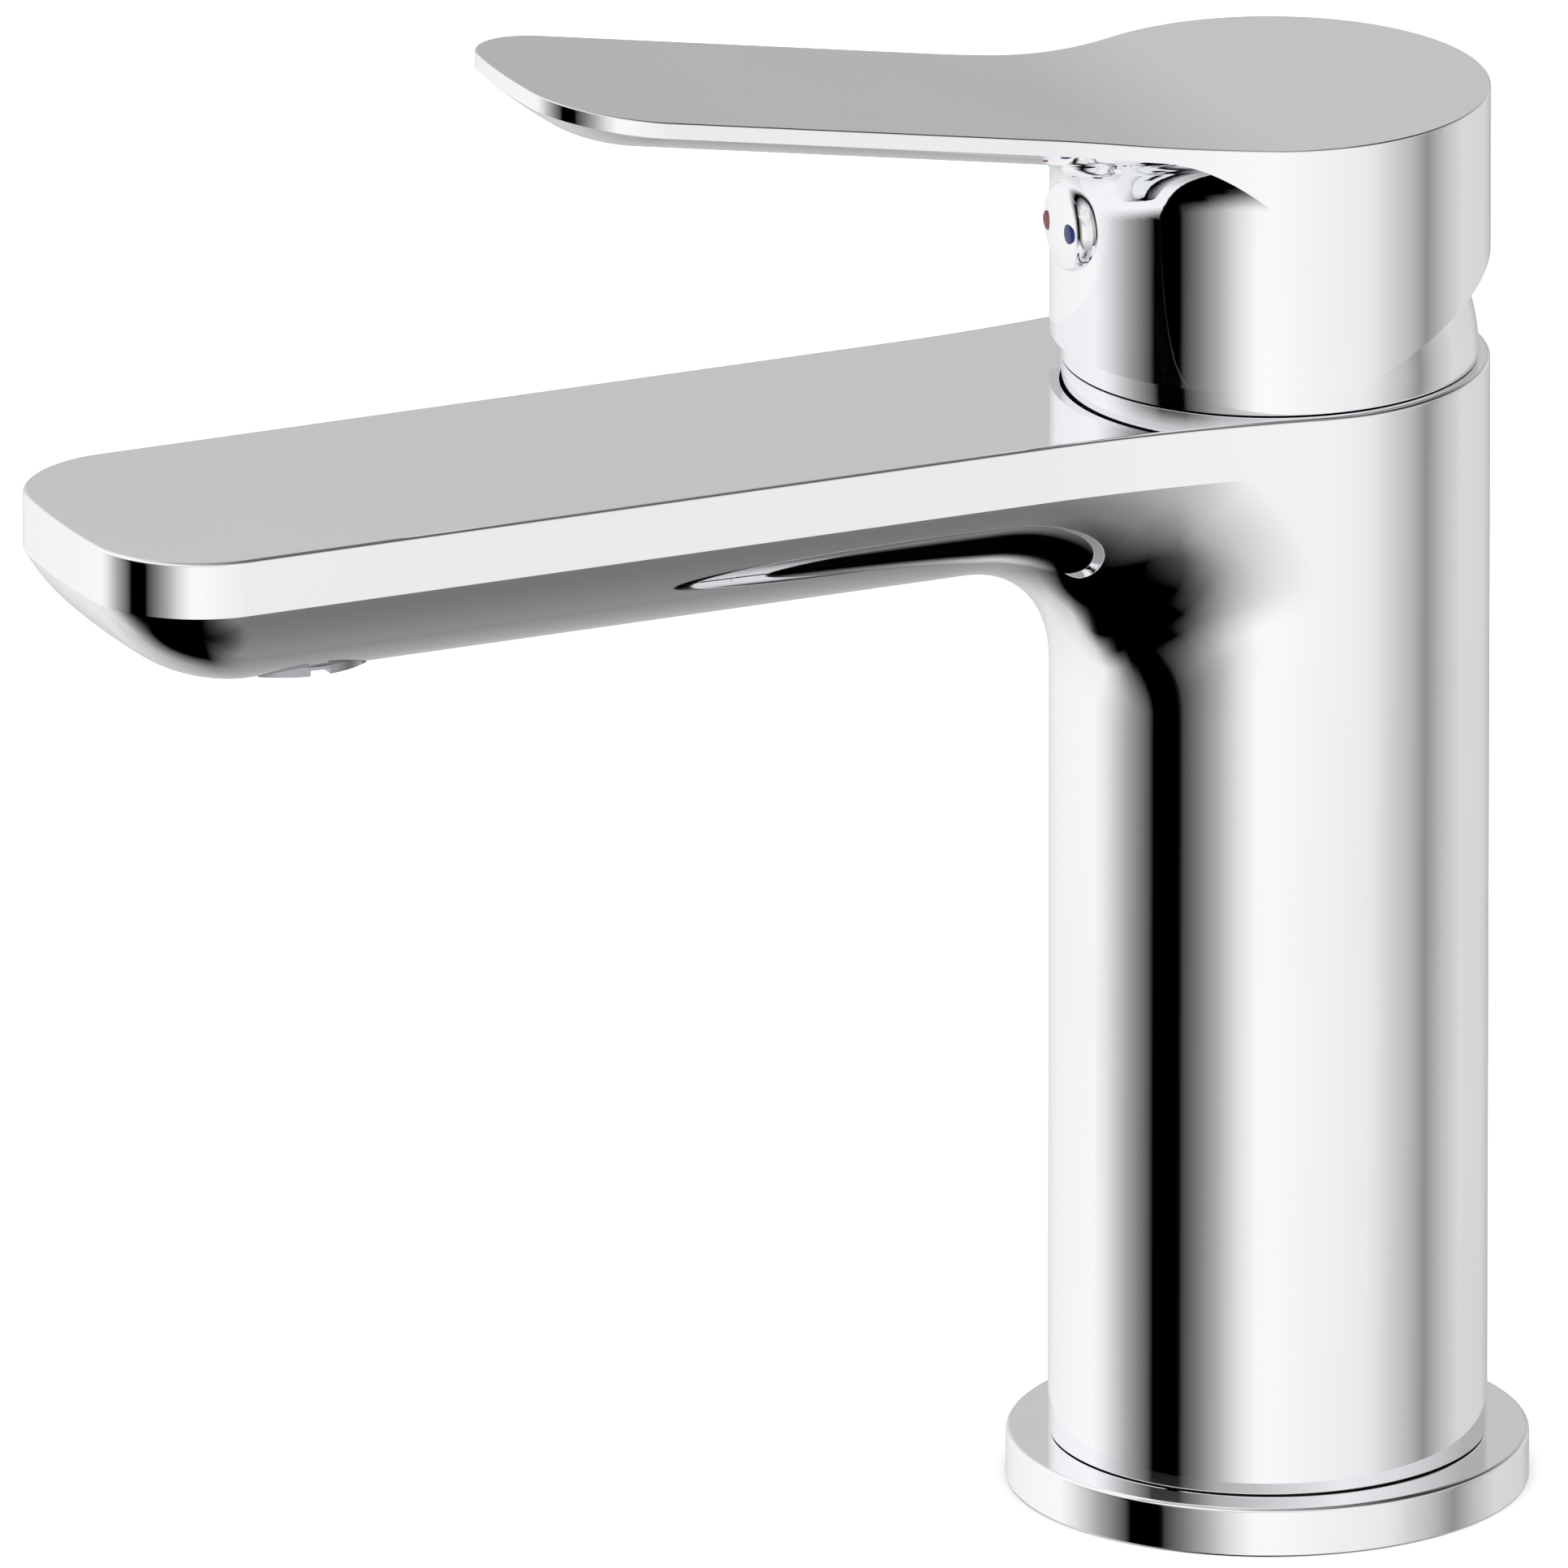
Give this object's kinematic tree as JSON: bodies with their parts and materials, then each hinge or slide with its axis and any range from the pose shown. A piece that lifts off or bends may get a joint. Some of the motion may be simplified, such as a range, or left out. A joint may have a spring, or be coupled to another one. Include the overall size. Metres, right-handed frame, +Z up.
{
  "type": "basin mixer faucet",
  "caption": "Chromed single-lever basin mixer: round column, flat-topped rounded spout, lever on top that lifts for flow and turns for temperature.",
  "frame": {"origin": "column axis on the deck plane, at the centre of the base flange's underside", "axes": "+Z up along the column, spout and lever towards -Y, +X to the side"},
  "size_m": [0.0548, 0.1654, 0.1655],
  "materials": {
    "chrome_body": "polished",
    "chrome_handle": "polished",
    "brass": "satin",
    "steel": "satin",
    "rubber": "matte",
    "cartridge_plastic": "matte",
    "limit_plastic": "matte",
    "ceramic": "gloss",
    "aerator_plastic": "matte",
    "hot_red": "gloss",
    "cold_blue": "gloss"
  },
  "bodies": {
    "column": {"body_casting": "chrome_body", "base_flange": "chrome_body", "base_gasket": "rubber", "column_seal": "rubber", "cartridge_base": "cartridge_plastic", "port_seals": "rubber", "fixed_ceramic_disc": "ceramic", "cartridge_housing": "cartridge_plastic", "hot_limit_ring": "limit_plastic", "cartridge_nut": "brass", "dome_ring": "chrome_body", "dome_o_ring": "rubber", "aerator_housing": "chrome_body", "aerator_insert": "aerator_plastic", "aerator_screen": "steel", "aerator_washer": "rubber"},
    "rotor": {"cartridge_rotor": "cartridge_plastic", "pivot_pin": "steel"},
    "lever": {"cartridge_stem": "steel", "handle": "chrome_handle", "handle_set_screw": "steel", "index_plug": "chrome_handle", "hot_dot": "hot_red", "cold_dot": "cold_blue"},
    "valve": {"moving_ceramic_disc": "ceramic", "disc_carrier": "cartridge_plastic"}
  },
  "joints": [
    {"name": "temperature_turn", "type": "hinge", "parent": "column", "child": "rotor", "pos_m": [0, 0, 0.1234], "axis": [0, 0, 1], "range_deg": [-47, 47]},
    {"name": "flow_lift", "type": "hinge", "parent": "rotor", "child": "lever", "pos_m": [0, 0, 0.1234], "axis": [-1, 0, 0], "range_deg": [0, 23]},
    {"name": "disc_slide", "type": "slide", "parent": "rotor", "child": "valve", "axis": [0, -1, 0], "range_m": [0, 0.0072]}
  ],
  "couplings": [
    {"joint": "disc_slide", "follows": "flow_lift", "m_per_rad": 0.01787}
  ]
}
